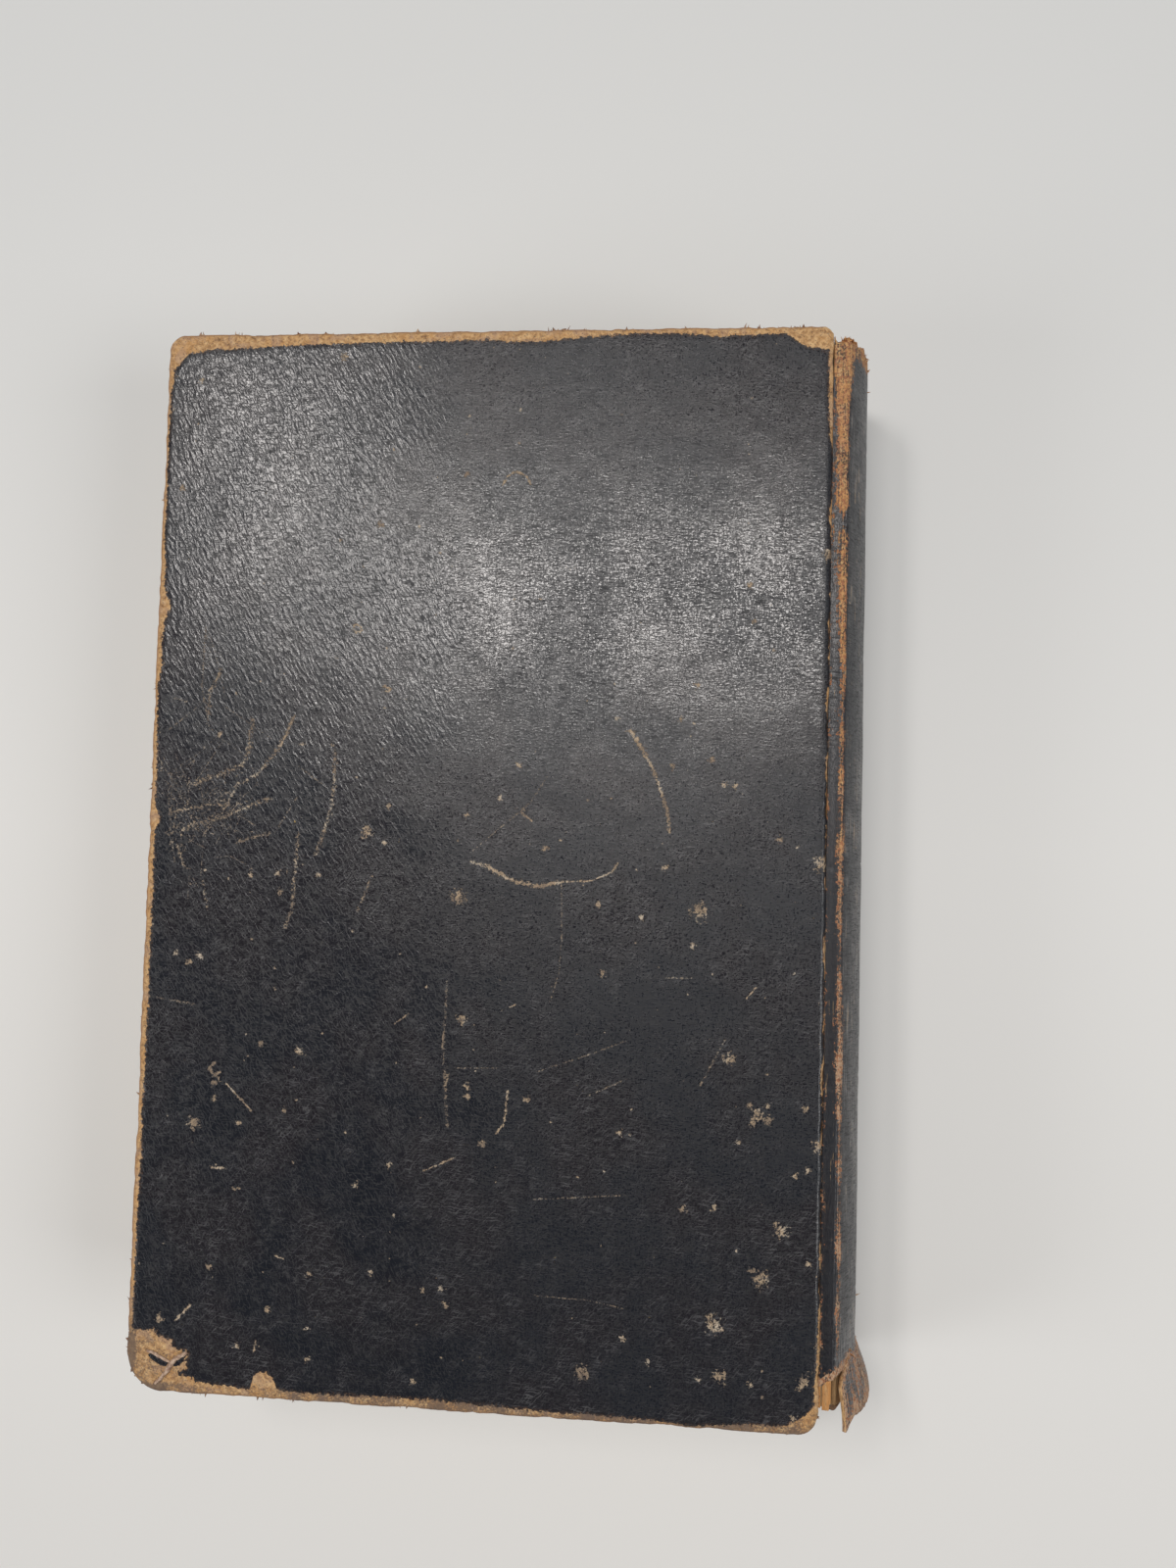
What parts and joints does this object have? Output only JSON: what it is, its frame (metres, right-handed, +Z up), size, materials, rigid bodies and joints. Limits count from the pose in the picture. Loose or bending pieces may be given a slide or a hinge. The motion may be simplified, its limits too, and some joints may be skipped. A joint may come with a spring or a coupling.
{
  "type": "antique leather-bound book",
  "caption": "Old book in worn black leather, with hinged covers, a rounded hollow-back spine torn open at the tail, sewn leaves, endpapers and endbands.",
  "frame": {"origin": "middle of the closed book, on the face that it lies on (the front cover's outside)", "axes": "+X from the fore edge to the spine, +Y from the tail to the head, +Z up through the leaves to the back cover"},
  "size_m": [0.1731, 0.25, 0.044],
  "materials": {
    "cover_leather": "fine-grained black goatskin, worn tan at the edges",
    "spine_leather": "dry black leather, rubbed grey, torn edges orange-tan",
    "board": "dense rope-fibre pasteboard",
    "leaves": "age-toned leaves, foxed edges",
    "endpaper": "plain wove paper, browned at the turn-ins",
    "mull": "open cotton scrim stiff with glue",
    "tube_paper": "brown kraft paper",
    "endband_thread": "sewn silk in faded gold and brown",
    "cord": "twisted hemp"
  },
  "bodies": {
    "book_block": {"text_block": "leaves", "back_flyleaf": "endpaper", "front_flyleaf": "endpaper", "spine_mull": "mull", "headband": "endband_thread", "tailband": "endband_thread", "hollow_tube": "tube_paper", "spine_leather": "spine_leather", "back_joint_leather": "spine_leather", "front_joint_leather": "spine_leather", "sewing_cord_1": "cord", "sewing_cord_2": "cord", "sewing_cord_3": "cord", "sewing_cord_4": "cord", "sewing_cord_5": "cord"},
    "back_cover": {"back_board": "board", "back_cover_leather": "cover_leather", "back_pastedown": "endpaper"},
    "front_cover": {"front_board": "board", "front_cover_leather": "cover_leather", "front_pastedown": "endpaper"}
  },
  "joints": [
    {"name": "back_cover_hinge", "type": "hinge", "parent": "book_block", "child": "back_cover", "pos_m": [0.07245, 0, 0.044], "axis": [0, 1, 0], "range_deg": [0, 180]},
    {"name": "front_cover_hinge", "type": "hinge", "parent": "book_block", "child": "front_cover", "pos_m": [0.07245, 0, 0], "axis": [0, -1, 0], "range_deg": [0, 180]}
  ]
}
